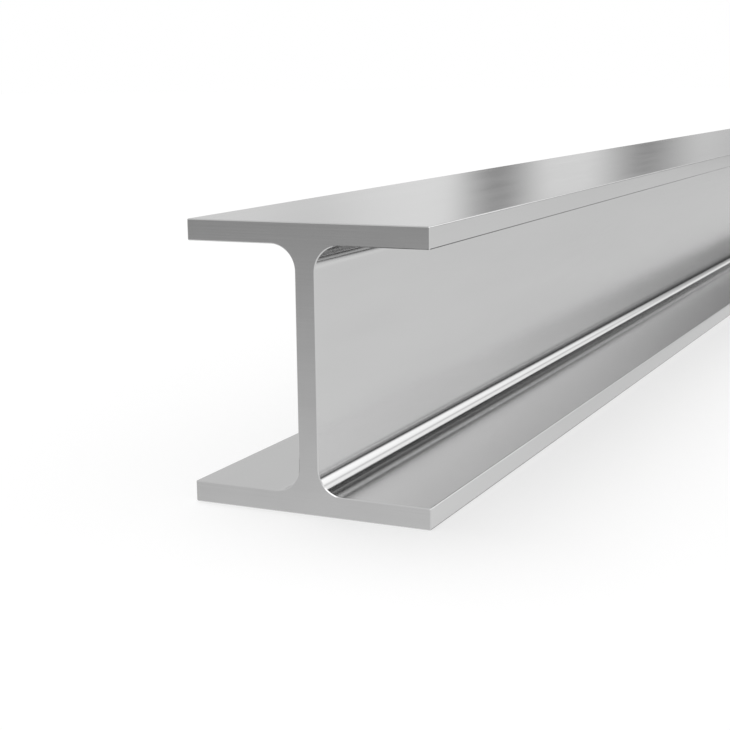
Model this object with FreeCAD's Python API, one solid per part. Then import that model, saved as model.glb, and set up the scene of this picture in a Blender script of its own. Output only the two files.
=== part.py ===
import FreeCAD, Part
import math
import os

from FreeCAD import Vector

# Stainless steel H-beam: one length of rolled stock with parallel flanges.
# It lies along Y on its lower flange, with the web upright. The origin is the middle of the
# underside: X runs across the flanges, Y along the length and Z up. Sizes are in millimetres.

# Section
section_depth = 200.0
flange_width = 180.0
flange_thickness = 15.0
web_thickness = 15.0
root_radius = 18.0
toe_radius = 1.0

# Length between the sawn ends, and the bevel left where their edges are deburred
beam_length = 3000.0
end_bevel = 0.7

# How near to an end plane an edge has to lie to count as part of that end
plane_tolerance = 1e-4


def section_corners():
    """The corners of the H as (x, z, radius), round the right half from below, then the left."""
    half_width = flange_width / 2
    half_web = web_thickness / 2
    lower_inner = flange_thickness
    upper_inner = section_depth - flange_thickness
    right = [
        (half_width, 0, toe_radius),
        (half_width, lower_inner, toe_radius),
        (half_web, lower_inner, root_radius),
        (half_web, upper_inner, root_radius),
        (half_width, upper_inner, toe_radius),
        (half_width, section_depth, toe_radius),
    ]
    left = [(-x, z, radius) for x, z, radius in reversed(right)]
    return right + left


def rounded_corner(before, corner, after, radius):
    """The arc that rounds a square corner between its two neighbours."""
    inward = (before - corner).normalize() * radius
    outward = (after - corner).normalize() * radius
    centre = corner + inward + outward
    middle = centre - (inward + outward) / math.sqrt(2)
    return Part.Arc(corner + inward, middle, corner + outward)


def section_face(y):
    """The H section as a flat face at the given place along the beam."""
    corners = section_corners()
    points = [Vector(x, y, z) for x, z, _ in corners]
    arcs = []
    for index, (_, _, radius) in enumerate(corners):
        after = points[(index + 1) % len(points)]
        arcs.append(rounded_corner(points[index - 1], points[index], after, radius))
    edges = []
    for index, arc in enumerate(arcs):
        edges.append(Part.LineSegment(arcs[index - 1].EndPoint, arc.StartPoint).toShape())
        edges.append(arc.toShape())
    return Part.Face(Part.Wire(edges))


def edges_on_end(solid, y):
    """The edges of a solid that lie in the end plane at the given place along the beam."""
    return [
        edge
        for edge in solid.Edges
        if abs(edge.BoundBox.YMin - y) < plane_tolerance
        and abs(edge.BoundBox.YMax - y) < plane_tolerance
    ]


def h_beam():
    """The whole beam: the section drawn out to length, with both ends deburred."""
    near_end = -beam_length / 2
    far_end = beam_length / 2
    stock = section_face(near_end).extrude(Vector(0, beam_length, 0))
    end_edges = edges_on_end(stock, near_end) + edges_on_end(stock, far_end)
    return stock.makeChamfer(end_bevel, end_edges)


os.makedirs("parts", exist_ok=True)
h_beam().exportStep("parts/h_beam.step")
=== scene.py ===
"""Looks for one length of stainless steel H-beam stock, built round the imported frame.

The beam lies along Y on its lower flange. Lengths are in metres and angles in degrees.
A bearing is measured from +Y towards +X, and a height from the horizon upwards.
"""

import logging
import math
from collections.abc import Iterable
from dataclasses import dataclass
from enum import Enum

import bmesh
import bpy
from mathutils import Matrix, Vector

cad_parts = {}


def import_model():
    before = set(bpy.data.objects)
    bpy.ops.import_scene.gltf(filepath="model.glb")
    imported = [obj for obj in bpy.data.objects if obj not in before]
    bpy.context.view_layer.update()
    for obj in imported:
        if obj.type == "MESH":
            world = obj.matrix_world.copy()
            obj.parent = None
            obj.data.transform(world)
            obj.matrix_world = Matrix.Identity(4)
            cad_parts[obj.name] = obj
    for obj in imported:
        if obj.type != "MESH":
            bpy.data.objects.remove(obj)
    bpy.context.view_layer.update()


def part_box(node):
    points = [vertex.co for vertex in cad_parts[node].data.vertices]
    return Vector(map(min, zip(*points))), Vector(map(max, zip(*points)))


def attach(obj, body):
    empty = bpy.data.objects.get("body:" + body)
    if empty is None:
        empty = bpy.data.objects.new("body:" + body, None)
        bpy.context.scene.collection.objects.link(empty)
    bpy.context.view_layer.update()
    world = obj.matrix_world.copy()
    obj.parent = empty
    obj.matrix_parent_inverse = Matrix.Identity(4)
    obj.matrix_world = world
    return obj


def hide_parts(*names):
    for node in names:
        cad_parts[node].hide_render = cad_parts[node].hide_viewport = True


LOG = logging.getLogger("h_beam")
CAD_NODE = "h_beam"
ROOT_BODY = "root"

# How nearly a face has to look along the beam, or straight across or up, where 1 is exactly
LOOKS_ALONG = 0.999
LOOKS_ACROSS = 0.9999
# How far a face has to lean towards an end to be a bevel's
BEVEL_LEAN = 0.01
# How near two places along the beam are when they count as one
SAME_PLACE = 0.000001
# How much more detail the noise of the lines and of the patches has
LINE_DETAIL = 3.0
PATCH_DETAIL = 2.0
# The colour sockets of a Mix node, whose names its other sockets share
MIX_LOW = 6
MIX_HIGH = 7
MIX_RESULT = 2

Socket = bpy.types.NodeSocket
Source = Socket | float | tuple[float, ...]
Colour = tuple[float, float, float, float]


class Skin(Enum):
    """The kinds of surface on the stock, numbered as the material slots of its mesh.

    Attributes:
        ROLLED: The flat rolled faces, with the first and last strips of each root.
        ROOT: The curve between web and flange, a little darker as painted shade.
        ARRIS: The edges of the flanges that look up, lighter as a painted highlight.
        SAWN: The sawn ends.
        BEVEL: The bevel round each sawn end.
        SHELTERED: The edges of the flanges that look down, darker as painted shade.
    """

    ROLLED = 0
    ROOT = 1
    ARRIS = 2
    SAWN = 3
    BEVEL = 4
    SHELTERED = 5


def grey(level: float) -> Colour:
    """Give the opaque grey of a level."""
    return (level, level, level, 1.0)


def add_object(name: str, data: bpy.types.ID) -> bpy.types.Object:
    """Put a new object in the scene.

    Args:
        name: What the object is called.
        data: Its mesh, lamp or camera.

    Returns:
        The object.
    """
    made = bpy.data.objects.new(name, data)
    bpy.context.scene.collection.objects.link(made)
    return made


class Wiring:
    """Short calls for adding and joining the nodes of one tree."""

    def __init__(self, tree: bpy.types.NodeTree) -> None:
        """Empty the tree, ready to be filled.

        Args:
            tree: The node tree of a material, a world or a group.
        """
        tree.nodes.clear()
        self.tree = tree

    def node(self, kind: str, **settings: object) -> bpy.types.Node:
        """Add one node.

        Args:
            kind: Blender's name for the type of node.
            **settings: Properties of the node and their values.

        Returns:
            The new node.
        """
        made = self.tree.nodes.new(kind)
        for name, value in settings.items():
            setattr(made, name, value)
        return made

    def feed(self, socket: Socket, value: Source) -> None:
        """Join an output to a socket, or set the socket to a plain value.

        Args:
            socket: The input to feed.
            value: Another node's output, a number or a few numbers.
        """
        if isinstance(value, bpy.types.NodeSocket):
            self.tree.links.new(value, socket)
        else:
            socket.default_value = value

    def math(self, operation: str, *values: Source) -> Socket:
        """Add a Math node.

        Args:
            operation: Blender's name for the sum.
            *values: What goes into it, in order.

        Returns:
            The result's socket.
        """
        made = self.node("ShaderNodeMath", operation=operation)
        for socket, value in zip(made.inputs, values):
            self.feed(socket, value)
        return made.outputs["Value"]

    def span(
        self,
        value: Source,
        start: Source,
        end: Source,
        low: Source,
        high: Source,
        slope: str = "SMOOTHSTEP",
    ) -> Socket:
        """Map a value from one range to another, and hold it at the ends.

        Args:
            value: What is mapped.
            start: The value at which the result leaves low.
            end: The value at which the result reaches high.
            low: The result before start.
            high: The result after end.
            slope: Blender's name for the way between them.

        Returns:
            The result's socket.
        """
        made = self.node("ShaderNodeMapRange", interpolation_type=slope)
        names = ("Value", "From Min", "From Max", "To Min", "To Max")
        for name, source in zip(names, (value, start, end, low, high)):
            self.feed(made.inputs[name], source)
        return made.outputs["Result"]

    def blend(self, share: Source, low: Source, high: Source) -> Socket:
        """Mix two colours.

        Args:
            share: How much of the second colour shows, from 0 to 1.
            low: The first colour.
            high: The second colour.

        Returns:
            The mixed colour's socket.
        """
        made = self.node("ShaderNodeMix", data_type="RGBA")
        self.feed(made.inputs["Factor"], share)
        self.feed(made.inputs[MIX_LOW], low)
        self.feed(made.inputs[MIX_HIGH], high)
        return made.outputs[MIX_RESULT]

    def group(self, effect: bpy.types.NodeTree, **inputs: Source) -> bpy.types.Node:
        """Place a shared effect.

        Args:
            effect: The node group.
            **inputs: Values for its sockets, with an underscore for each space in a name.

        Returns:
            The group's node.
        """
        made = self.node("ShaderNodeGroup", node_tree=effect)
        for name, value in inputs.items():
            self.feed(made.inputs[name.replace("_", " ")], value)
        return made


def new_effect(name: str, inputs: dict[str, str], outputs: Iterable[str]) -> Wiring:
    """Start a shader node group with named sockets.

    Args:
        name: What the effect is called.
        inputs: Each input's name and its kind, "Float" or "Vector".
        outputs: The names of the values that the effect puts out.

    Returns:
        The wiring of the empty group.
    """
    tree = bpy.data.node_groups.new(name, "ShaderNodeTree")
    for label, kind in inputs.items():
        tree.interface.new_socket(label, in_out="INPUT", socket_type=f"NodeSocket{kind}")
    for label in outputs:
        tree.interface.new_socket(label, in_out="OUTPUT", socket_type="NodeSocketFloat")
    return Wiring(tree)


def grain_effect() -> bpy.types.NodeTree:
    """Lines and soft patches of a worked metal face.

    Returns:
        A group that takes a place, the size of a line and the size of a patch along each axis,
        and puts out two masks from 0 to 1.
    """
    sizes = {"Place": "Vector", "Line Size": "Vector", "Patch Size": "Vector"}
    wiring = new_effect("metal_grain", sizes, ("Lines", "Patches"))
    ask = wiring.node("NodeGroupInput")
    give = wiring.node("NodeGroupOutput")
    layers = (("Line Size", "Lines", LINE_DETAIL), ("Patch Size", "Patches", PATCH_DETAIL))
    for size, mask, detail in layers:
        scaled = wiring.node("ShaderNodeVectorMath", operation="DIVIDE")
        wiring.feed(scaled.inputs[0], ask.outputs["Place"])
        wiring.feed(scaled.inputs[1], ask.outputs[size])
        noise = wiring.node("ShaderNodeTexNoise")
        wiring.feed(noise.inputs["Vector"], scaled.outputs["Vector"])
        wiring.feed(noise.inputs["Scale"], 1.0)
        wiring.feed(noise.inputs["Detail"], detail)
        wiring.feed(give.inputs[mask], noise.outputs["Fac"])
    return wiring.tree


def panel_effect() -> bpy.types.NodeTree:
    """A soft-edged rectangle in the sky, for the panels round the studio.

    Returns:
        A group that takes a direction's bearing and height and the panel's middle, half sizes and
        soft edges, all in radians, and puts out a mask from 0 to 1.
    """
    names = ("Bearing", "Height", "Middle Bearing", "Middle Height")
    names += ("Half Width", "Half Height", "Soft Sides", "Soft Ends")
    wiring = new_effect("studio_panel", dict.fromkeys(names, "Float"), ("Mask",))
    ask = wiring.node("NodeGroupInput").outputs
    give = wiring.node("NodeGroupOutput")
    turned = wiring.math("SUBTRACT", ask["Bearing"], ask["Middle Bearing"])
    across = wiring.math("ABSOLUTE", wiring.math("WRAP", turned, math.pi, -math.pi))
    along = wiring.math("ABSOLUTE", wiring.math("SUBTRACT", ask["Height"], ask["Middle Height"]))
    ways = ((across, "Half Width", "Soft Sides"), (along, "Half Height", "Soft Ends"))
    masks = []
    for distance, half, soft in ways:
        inner = wiring.math("SUBTRACT", ask[half], ask[soft])
        outer = wiring.math("ADD", ask[half], ask[soft])
        masks.append(wiring.span(distance, inner, outer, 1.0, 0.0))
    wiring.feed(give.inputs["Mask"], wiring.math("MULTIPLY", *masks))
    return wiring.tree


@dataclass(frozen=True)
class SteelFinish:
    """One finish of bare stainless steel.

    Attributes:
        name: What the material is called.
        dull: The metal's grey where it reflects least.
        bright: The metal's grey where it reflects most.
        roughness: The middle of the roughness.
        line_roughness: How much the lines change the roughness.
        patch_roughness: How much the patches change the roughness.
        line_depth: How deep the lines are.
        line_size: The size of a line along X, Y and Z.
        patch_size: The size of a patch along X, Y and Z.
        edge_tint: How much of its brightness a reflection keeps when seen at a shallow angle.
    """

    name: str
    dull: float
    bright: float
    roughness: float
    line_roughness: float
    patch_roughness: float
    line_depth: float
    line_size: tuple[float, float, float] = (0.0006, 0.06, 0.0006)
    patch_size: tuple[float, float, float] = (0.03, 0.25, 0.03)
    edge_tint: float = 0.8

    def material(self, grain: bpy.types.NodeTree) -> bpy.types.Material:
        """Build the finish.

        Args:
            grain: The shared effect of lines and patches.

        Returns:
            The material.
        """
        made = bpy.data.materials.new(self.name)
        made.use_nodes = True
        wiring = Wiring(made.node_tree)
        place = wiring.node("ShaderNodeTexCoord").outputs["Object"]
        effect = wiring.group(grain, Place=place, Line_Size=self.line_size, Patch_Size=self.patch_size)
        lines = effect.outputs["Lines"]
        patches = effect.outputs["Patches"]
        steel = wiring.node("ShaderNodeBsdfPrincipled")
        steel.inputs["Metallic"].default_value = 1.0
        steel.inputs["Specular Tint"].default_value = grey(self.edge_tint)
        tone = wiring.blend(patches, grey(self.dull), grey(self.bright))
        wiring.feed(steel.inputs["Base Color"], tone)
        wiring.feed(steel.inputs["Roughness"], self._roughness(wiring, lines, patches))
        bump = wiring.node("ShaderNodeBump")
        bump.inputs["Distance"].default_value = self.line_depth
        wiring.feed(bump.inputs["Height"], lines)
        wiring.feed(steel.inputs["Normal"], bump.outputs["Normal"])
        out = wiring.node("ShaderNodeOutputMaterial")
        wiring.feed(out.inputs["Surface"], steel.outputs["BSDF"])
        return made

    def _roughness(self, wiring: Wiring, lines: Socket, patches: Socket) -> Socket:
        """Add the lines and the patches to the middle roughness.

        Args:
            wiring: The material's wiring.
            lines: The mask of the lines.
            patches: The mask of the patches.

        Returns:
            The roughness over the surface.
        """
        middle_of_masks = (self.line_roughness + self.patch_roughness) / 2
        from_lines = wiring.math("MULTIPLY_ADD", lines, self.line_roughness, self.roughness)
        centred = wiring.math("SUBTRACT", from_lines, middle_of_masks)
        return wiring.math("MULTIPLY_ADD", patches, self.patch_roughness, centred)


FINISHES = {
    Skin.ROLLED: SteelFinish(
        name="rolled_satin_steel",
        dull=0.53,
        bright=0.59,
        roughness=0.18,
        line_roughness=0.08,
        patch_roughness=0.06,
        line_depth=0.000005,
    ),
    # Darker than the rolled steel: painted shade that dims the root's glint and darkens the bands beside it
    Skin.ROOT: SteelFinish(
        name="rolled_root_steel",
        dull=0.48,
        bright=0.5,
        roughness=0.11,
        line_roughness=0.03,
        patch_roughness=0.03,
        line_depth=0.0000005,
    ),
    # Lighter than the rolled steel: a painted highlight along the edges that look up
    Skin.ARRIS: SteelFinish(
        name="painted_highlight_arris_steel",
        dull=0.61,
        bright=0.65,
        roughness=0.14,
        line_roughness=0.04,
        patch_roughness=0.04,
        line_depth=0.000001,
        patch_size=(0.03, 0.15, 0.03),
    ),
    # Darker than the rolled steel: painted shade along the edges that look down
    Skin.SHELTERED: SteelFinish(
        name="painted_shade_arris_steel",
        dull=0.38,
        bright=0.42,
        roughness=0.14,
        line_roughness=0.04,
        patch_roughness=0.04,
        line_depth=0.000001,
        patch_size=(0.03, 0.15, 0.03),
    ),
    Skin.SAWN: SteelFinish(
        name="sawn_end_steel",
        dull=0.5,
        bright=0.57,
        roughness=0.18,
        line_roughness=0.12,
        patch_roughness=0.05,
        line_depth=0.000016,
        line_size=(0.09, 1.0, 0.0009),
        patch_size=(0.05, 1.0, 0.03),
    ),
    Skin.BEVEL: SteelFinish(
        name="deburred_edge_steel",
        dull=0.54,
        bright=0.57,
        roughness=0.14,
        line_roughness=0.05,
        patch_roughness=0.05,
        line_depth=0.000001,
        line_size=(0.002, 0.002, 0.002),
        patch_size=(0.02, 0.02, 0.02),
    ),
}


@dataclass
class HBeamStock:
    """The length of rolled H-section.

    Attributes:
        low: The lowest corner of the beam's box.
        high: The highest corner of the beam's box.
        flange_thickness: The thickness of each flange.
        web_thickness: The thickness of the web.
        root_radius: The radius between web and flange.
        toe_radius: The radius of the flanges' long edges.
        end_bevel: The width of the bevel round each sawn end.
        root_steps: Flat strips in each root's curve.
        toe_steps: Flat strips in each toe's curve.
        bevel_steps: Flat strips in the bevel.
        root_edge: How far each root turns from a flat face before its own finish starts.
        flat_share: How far the flat faces lead the shading of their edges, in percent.
    """

    low: Vector
    high: Vector
    flange_thickness: float = 0.015
    web_thickness: float = 0.015
    root_radius: float = 0.018
    toe_radius: float = 0.001
    end_bevel: float = 0.0007
    root_steps: int = 24
    toe_steps: int = 6
    bevel_steps: int = 1
    root_edge: float = 18.0
    flat_share: int = 100

    def build(self) -> bpy.types.Object:
        """Model the beam and dress it.

        Returns:
            The finished piece.
        """
        solid = bmesh.new()
        self._outline(solid)
        self._round_long_edges(solid)
        self._draw_out(solid)
        self._bevel_ends(solid)
        bmesh.ops.recalc_face_normals(solid, faces=solid.faces)
        self._sort_skins(solid)
        mesh = bpy.data.meshes.new("h_beam_stock")
        solid.to_mesh(mesh)
        solid.free()
        piece = add_object("h_beam_stock", mesh)
        self._even_shading(piece)
        self._dress(piece)
        return piece

    def _outline(self, solid: bmesh.types.BMesh) -> None:
        """Lay the square-cornered H as one face across the near end.

        Args:
            solid: The mesh being made.
        """
        inner_low = self.low.z + self.flange_thickness
        inner_high = self.high.z - self.flange_thickness
        half_web = self.web_thickness / 2
        right = [
            (self.high.x, self.low.z),
            (self.high.x, inner_low),
            (half_web, inner_low),
            (half_web, inner_high),
            (self.high.x, inner_high),
            (self.high.x, self.high.z),
        ]
        left = [(-x, z) for x, z in reversed(right)]
        solid.faces.new([solid.verts.new((x, self.low.y, z)) for x, z in right + left])

    def _is_root(self, point: Vector) -> bool:
        """Tell whether a point of the outline lies where the web meets a flange."""
        return abs(point.x) < self.high.x / 2

    def _round_long_edges(self, solid: bmesh.types.BMesh) -> None:
        """Round the outline's corners, which become the long edges of the beam.

        Args:
            solid: The mesh being made.
        """
        corners = list(solid.verts)
        roots = [corner for corner in corners if self._is_root(corner.co)]
        toes = [corner for corner in corners if not self._is_root(corner.co)]
        curves = (
            (toes, self.toe_radius, self.toe_steps),
            (roots, self.root_radius, self.root_steps),
        )
        for corner_group, radius, steps in curves:
            bmesh.ops.bevel(
                solid,
                geom=corner_group,
                offset=radius,
                offset_type="OFFSET",
                segments=steps,
                profile=0.5,
                affect="VERTICES",
                material=-1,
            )

    def _draw_out(self, solid: bmesh.types.BMesh) -> None:
        """Draw the outline out to the beam's length.

        Args:
            solid: The mesh being made.
        """
        drawn = bmesh.ops.extrude_face_region(solid, geom=list(solid.faces), use_keep_orig=True)
        far = [item for item in drawn["geom"] if isinstance(item, bmesh.types.BMVert)]
        bmesh.ops.translate(solid, verts=far, vec=(0, self.high.y - self.low.y, 0))

    def _bevel_ends(self, solid: bmesh.types.BMesh) -> None:
        """Break the edges of both sawn ends.

        Args:
            solid: The mesh being made.
        """
        end_edges = [
            edge
            for edge in solid.edges
            if math.isclose(edge.verts[0].co.y, edge.verts[1].co.y, abs_tol=SAME_PLACE)
        ]
        bmesh.ops.bevel(
            solid,
            geom=end_edges,
            offset=self.end_bevel,
            offset_type="OFFSET",
            segments=self.bevel_steps,
            profile=0.5,
            affect="EDGES",
            material=-1,
            clamp_overlap=True,
        )

    def _skin_of(self, face: bmesh.types.BMFace) -> Skin:
        """Say which kind of surface a face belongs to.

        Args:
            face: A face of the finished mesh.

        Returns:
            The face's skin.
        """
        across, along, up = (abs(part) for part in face.normal)
        if along > LOOKS_ALONG:
            return Skin.SAWN
        if along > BEVEL_LEAN:
            return Skin.BEVEL
        if max(across, up) > LOOKS_ACROSS:
            return Skin.ROLLED
        if self._is_root(face.calc_center_median()):
            turned = min(across, up) > math.sin(math.radians(self.root_edge))
            return Skin.ROOT if turned else Skin.ROLLED
        # Edges that look up get a painted highlight, and edges that look down get painted shade
        return Skin.ARRIS if face.normal.z > 0 else Skin.SHELTERED

    def _sort_skins(self, solid: bmesh.types.BMesh) -> None:
        """Give each face its material slot and smooth shading, with the bevels' borders crisp.

        Args:
            solid: The mesh being made.
        """
        solid.normal_update()
        for face in solid.faces:
            face.material_index = self._skin_of(face).value
            face.smooth = True
        for edge in solid.edges:
            slots = [face.material_index for face in edge.link_faces]
            edge.smooth = slots.count(Skin.BEVEL.value) != 1

    def _even_shading(self, piece: bpy.types.Object) -> None:
        """Keep the large flat faces flat in the light, up to the start of each curve.

        Args:
            piece: The beam's object.
        """
        weights = piece.modifiers.new("even_shading", "WEIGHTED_NORMAL")
        weights.mode = "FACE_AREA"
        weights.weight = self.flat_share
        weights.keep_sharp = True

    def _dress(self, piece: bpy.types.Object) -> None:
        """Put the finishes on the beam, in the order of their skins.

        Args:
            piece: The beam's object.
        """
        grain = grain_effect()
        for skin in Skin:
            piece.data.materials.append(FINISHES[skin].material(grain))


@dataclass(frozen=True)
class SkyPlace:
    """Where a direction points.

    Attributes:
        bearing: Its bearing in radians.
        height: Its height in radians.
        turn: Its turn round the beam's length, in radians up from +X.
    """

    bearing: Socket
    height: Socket
    turn: Socket


@dataclass(frozen=True)
class Panel:
    """A bright or dark panel round the studio, seen only in reflections.

    In each pair of angles the first goes sideways and the second upwards.

    Attributes:
        middle: The bearing and the height of its middle.
        half_size: Half of its width and half of its height.
        soft: Half of the width of its soft edges, first at its sides and then at its ends.
        level: How bright it is at its lower left, where 1 is white.
        rise: How many times as bright it is at its top.
        sweep: How many times as bright it is at its right.
    """

    middle: tuple[float, float]
    half_size: tuple[float, float]
    soft: tuple[float, float]
    level: float
    rise: float = 1.0
    sweep: float = 1.0

    def lay_over(
        self, wiring: Wiring, effect: bpy.types.NodeTree, sky: SkyPlace, below: Source
    ) -> Socket:
        """Lay the panel over what is behind it.

        Args:
            wiring: The world's wiring.
            effect: The shared effect of a panel.
            sky: Where a direction points.
            below: The brightness without the panel.

        Returns:
            The brightness with the panel.
        """
        panel = wiring.group(
            effect,
            Bearing=sky.bearing,
            Height=sky.height,
            Middle_Bearing=math.radians(self.middle[0]),
            Middle_Height=math.radians(self.middle[1]),
            Half_Width=math.radians(self.half_size[0]),
            Half_Height=math.radians(self.half_size[1]),
            Soft_Sides=math.radians(self.soft[0]),
            Soft_Ends=math.radians(self.soft[1]),
        )
        change = wiring.math("SUBTRACT", self._level(wiring, sky), below)
        return wiring.math("MULTIPLY_ADD", change, panel.outputs["Mask"], below)

    def _level(self, wiring: Wiring, sky: SkyPlace) -> Source:
        """Work out how bright the panel is over its face.

        Args:
            wiring: The world's wiring.
            sky: Where a direction points.

        Returns:
            The panel's own brightness.
        """
        level = self.level
        places = (sky.bearing, sky.height)
        gains = (self.sweep, self.rise)
        for place, middle, half, gain in zip(places, self.middle, self.half_size, gains):
            if gain != 1.0:
                ends = (math.radians(middle - half), math.radians(middle + half))
                share = wiring.span(place, *ends, 1.0, gain, "LINEAR")
                level = wiring.math("MULTIPLY", share, level)
        return level


@dataclass(frozen=True)
class Seam:
    """A thin line in the light that runs along the beam.

    Attributes:
        turn: Its turn round the beam's length, in degrees up from the right.
        half_width: Half of its width.
        level: How much of the light is left in it.
    """

    turn: float
    half_width: float
    level: float

    def lay_over(self, wiring: Wiring, sky: SkyPlace, below: Source) -> Socket:
        """Darken what is behind the seam.

        Args:
            wiring: The world's wiring.
            sky: Where a direction points.
            below: The brightness without the seam.

        Returns:
            The brightness with the seam.
        """
        away = wiring.math("ABSOLUTE", wiring.math("SUBTRACT", sky.turn, math.radians(self.turn)))
        share = wiring.span(away, 0.0, math.radians(self.half_width), self.level, 1.0)
        return wiring.math("MULTIPLY", share, below)


@dataclass(frozen=True)
class Studio:
    """The plain floor, the soft light and what the polished metal sees round it.

    Attributes:
        floor_size: The floor's width.
        floor_grey: The floor's colour.
        shadow_grey: How much of the floor's white a full shadow would take away.
        white_margin: How far past white the open floor shows.
        plain_level: The light that comes evenly from all round.
        key_share: The light of the key lamp on the floor.
        key_angle: How wide the key lamp looks, which softens its shadow.
        key_lean: The key lamp's lean from straight above, towards -X and +Y.
        ground_level: How bright the floor looks in the metal.
        horizon_soft: Half of the height over which the floor turns into the walls there.
        sky_level: How bright the walls look in the metal.
        roof_level: How bright it looks there overhead.
        roof_start: The height at which the walls start to turn into the roof.
        roof_end: The height at which they have.
        panels: The panels round the studio, each over the ones before it.
        seam: The seam in the long light beside the beam.
    """

    floor_size: float = 80.0
    floor_grey: float = 0.8
    shadow_grey: float = 0.45
    white_margin: float = 0.02
    plain_level: float = 0.7
    key_share: float = 0.3
    key_angle: float = 40.0
    key_lean: tuple[float, float] = (20.0, 15.0)
    ground_level: float = 1.01
    horizon_soft: float = 1.0
    sky_level: float = 0.93
    roof_level: float = 0.9
    roof_start: float = 24.0
    roof_end: float = 45.0
    panels: tuple[Panel, ...] = (
        # The grey end wall, which the far part of the top face sees
        Panel(middle=(-7.0, 5.0), half_size=(5.5, 20.0), soft=(2.5, 5.0), level=0.64),
        # Two strips that the near end of the top face sees
        Panel(middle=(-27.5, 5.5), half_size=(1.5, 5.0), soft=(1.5, 2.0), level=0.86),
        Panel(middle=(-24.0, 5.5), half_size=(2.0, 8.0), soft=(1.6, 3.0), level=0.66, rise=1.9, sweep=1.1),
        # The two dark bands across the top face
        Panel(middle=(-20.2, 1.0), half_size=(1.1, 6.4), soft=(1.1, 3.2), level=0.15),
        Panel(middle=(-14.5, 1.0), half_size=(1.22, 5.8), soft=(1.25, 3.2), level=0.16),
        # The long softbox at the right, which gives the lower root its glint
        Panel(middle=(24.0, 25.7), half_size=(22.0, 17.0), soft=(3.0, 1.2), level=1.5, rise=0.85, sweep=1.6),
        # The dark gap under it, which draws the line above the glint
        Panel(middle=(20.0, 2.1), half_size=(15.0, 4.6), soft=(4.0, 0.5), level=0.22, rise=0.05, sweep=2.6),
        # The softbox's dim lower edge, which the far web and the far lower flange see
        Panel(middle=(12.3, 8.6), half_size=(2.4, 1.5), soft=(1.6, 0.8), level=0.72),
        # The dim roof over the beam, for the upper root and the band under the glint
        Panel(middle=(3.0, 32.0), half_size=(9.5, 6.5), soft=(2.0, 1.5), level=0.6),
        # Painted shade seen in the metal: the floor close beside the beam, darkened as in the beam's shadow,
        # first its near part
        Panel(middle=(5.0, -26.0), half_size=(11.0, 9.0), soft=(2.0, 2.0), level=0.06),
        Panel(middle=(2.5, -15.5), half_size=(5.0, 3.0), soft=(1.5, 1.0), level=0.1),
        # The open floor that the web and the right side faces see, first its far part
        Panel(middle=(8.0, -8.0), half_size=(9.0, 4.5), soft=(3.0, 2.0), level=1.0),
        Panel(middle=(24.0, -18.0), half_size=(7.0, 4.0), soft=(3.0, 2.0), level=1.12),
        # A bright panel high up behind the camera
        Panel(middle=(150.0, 55.0), half_size=(50.0, 22.0), soft=(8.0, 8.0), level=2.0),
        # The floor that the near sawn end sees, darker further off
        Panel(middle=(-154.0, -7.5), half_size=(40.0, 13.5), soft=(12.0, 1.5), level=1.02, rise=0.04),
    )
    seam: Seam = Seam(turn=46.0, half_width=8.0, level=0.62)

    def build(self) -> None:
        """Make the floor, the world and the key lamp."""
        self._floor()
        self._world()
        self._key_lamp()

    def _floor(self) -> None:
        """Lay the floor that the beam lies on."""
        sheet = bmesh.new()
        bmesh.ops.create_grid(sheet, x_segments=1, y_segments=1, size=self.floor_size / 2)
        mesh = bpy.data.meshes.new("studio_floor")
        sheet.to_mesh(mesh)
        sheet.free()
        mesh.materials.append(self._floor_material())
        floor = add_object("studio_floor", mesh)
        floor.visible_glossy = False
        floor.visible_transmission = False

    def _floor_material(self) -> bpy.types.Material:
        """Make the pale floor, white to the camera except in the beam's shadow.

        Returns:
            The material.
        """
        made = bpy.data.materials.new("studio_floor")
        made.use_nodes = True
        made.cycles.emission_sampling = "NONE"
        wiring = Wiring(made.node_tree)
        seen = wiring.node("ShaderNodeLightPath").outputs["Is Camera Ray"]
        matt = wiring.node("ShaderNodeBsdfDiffuse")
        tone = wiring.blend(seen, grey(self.floor_grey), grey(self.shadow_grey))
        wiring.feed(matt.inputs["Color"], tone)
        glow = wiring.node("ShaderNodeEmission")
        lift = 1.0 + self.white_margin - self.shadow_grey
        wiring.feed(glow.inputs["Strength"], wiring.math("MULTIPLY", seen, lift))
        both = wiring.node("ShaderNodeAddShader")
        wiring.feed(both.inputs[0], matt.outputs["BSDF"])
        wiring.feed(both.inputs[1], glow.outputs["Emission"])
        out = wiring.node("ShaderNodeOutputMaterial")
        wiring.feed(out.inputs["Surface"], both.outputs["Shader"])
        return made

    def _world(self) -> None:
        """Light the room evenly, show white behind the beam and set the panels round the metal."""
        world = bpy.data.worlds.new("studio_world")
        bpy.context.scene.world = world
        world.use_nodes = True
        wiring = Wiring(world.node_tree)
        ray = wiring.node("ShaderNodeLightPath").outputs
        split = wiring.node("ShaderNodeSeparateXYZ")
        wiring.feed(split.inputs["Vector"], wiring.node("ShaderNodeTexCoord").outputs["Generated"])
        bearing = wiring.math("ARCTAN2", split.outputs["X"], split.outputs["Y"])
        turn = wiring.math("ARCTAN2", split.outputs["Z"], split.outputs["X"])
        sky = SkyPlace(bearing, wiring.math("ARCSINE", split.outputs["Z"]), turn)
        horizon = math.radians(self.horizon_soft)
        walls = wiring.span(sky.height, -horizon, horizon, self.ground_level, self.sky_level)
        starts = (math.radians(self.roof_start), math.radians(self.roof_end))
        level = wiring.span(sky.height, *starts, walls, self.roof_level)
        effect = panel_effect()
        for panel in self.panels:
            level = panel.lay_over(wiring, effect, sky, level)
        level = self.seam.lay_over(wiring, sky, level)
        mirrored = wiring.math("MAXIMUM", ray["Is Glossy Ray"], ray["Is Transmission Ray"])
        lit = wiring.blend(mirrored, grey(self.plain_level), level)
        shown = wiring.blend(ray["Is Camera Ray"], lit, grey(1.0))
        background = wiring.node("ShaderNodeBackground")
        wiring.feed(background.inputs["Color"], shown)
        out = wiring.node("ShaderNodeOutputWorld")
        wiring.feed(out.inputs["Surface"], background.outputs["Background"])

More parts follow.
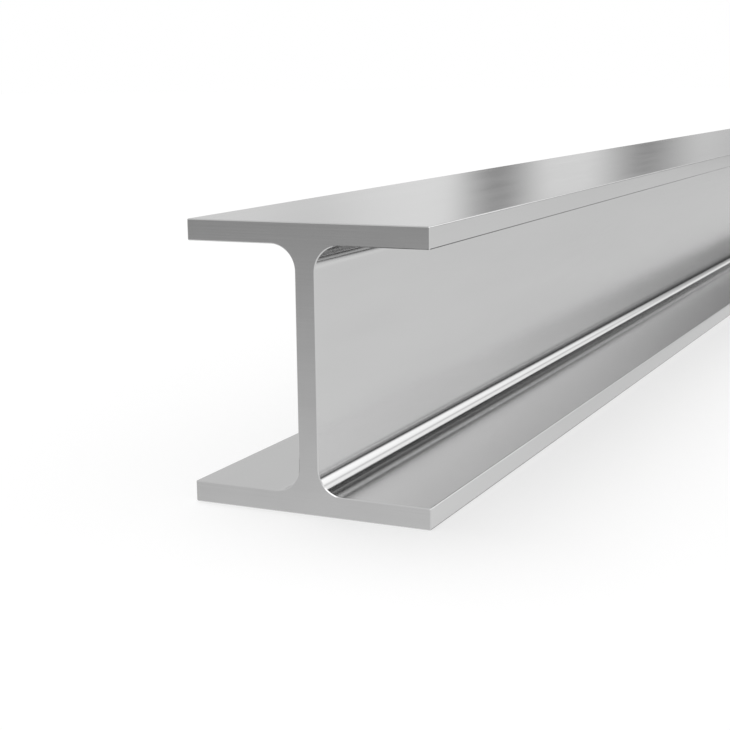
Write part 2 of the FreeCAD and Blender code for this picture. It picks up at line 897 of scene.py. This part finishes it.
    def _key_lamp(self) -> None:
        """Hang the key lamp, which gives the floor its soft shadow."""
        lamp = bpy.data.lights.new("key_lamp", "SUN")
        lamp.angle = math.radians(self.key_angle)
        across, along = (math.radians(lean) for lean in self.key_lean)
        upright = math.cos(across) * math.cos(along)
        lamp.energy = math.pi * self.key_share / upright
        holder = add_object("key_lamp", lamp)
        holder.matrix_world = Matrix.Rotation(-across, 4, "Y") @ Matrix.Rotation(-along, 4, "X")
        holder.visible_glossy = False


@dataclass(frozen=True)
class PhotoCamera:
    """The camera at the photograph's place.

    Attributes:
        place: Where it stands.
        bearing: Where it looks.
        drop: How far it looks below the horizon.
        roll: How far it leans to its left.
        focal_pixels: Its focal length in pixels of the photograph.
        photo_pixels: The photograph's width in pixels.
        sensor_width: The width of Blender's sensor in millimetres.
    """

    place: tuple[float, float, float] = (0.44566, -2.34366, 0.29004)
    bearing: float = -25.486
    drop: float = 11.040
    roll: float = -0.726
    focal_pixels: float = 1451.4
    photo_pixels: float = 730.0
    sensor_width: float = 36.0

    def build(self) -> None:
        """Set the camera up and make it the scene's own."""
        lens = bpy.data.cameras.new("photo_camera")
        lens.sensor_width = self.sensor_width
        lens.lens = self.sensor_width * self.focal_pixels / self.photo_pixels
        camera = add_object("photo_camera", lens)
        turned = Matrix.Rotation(math.radians(-self.bearing), 4, "Z")
        tipped = Matrix.Rotation(math.radians(90.0 - self.drop), 4, "X")
        rolled = Matrix.Rotation(math.radians(self.roll), 4, "Z")
        camera.matrix_world = Matrix.Translation(self.place) @ turned @ tipped @ rolled
        bpy.context.scene.camera = camera


def main() -> None:
    """Build the camera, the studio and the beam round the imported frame."""
    logging.basicConfig(level=logging.INFO, format="%(name)s: %(message)s")
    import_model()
    bpy.context.scene.view_settings.view_transform = "Standard"
    PhotoCamera().build()
    Studio().build()
    low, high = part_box(CAD_NODE)
    beam = HBeamStock(low, high).build()
    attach(beam, ROOT_BODY)
    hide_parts(CAD_NODE)
    LOG.info("%s: %d faces", beam.name, len(beam.data.polygons))


if __name__ == "__main__":
    main()
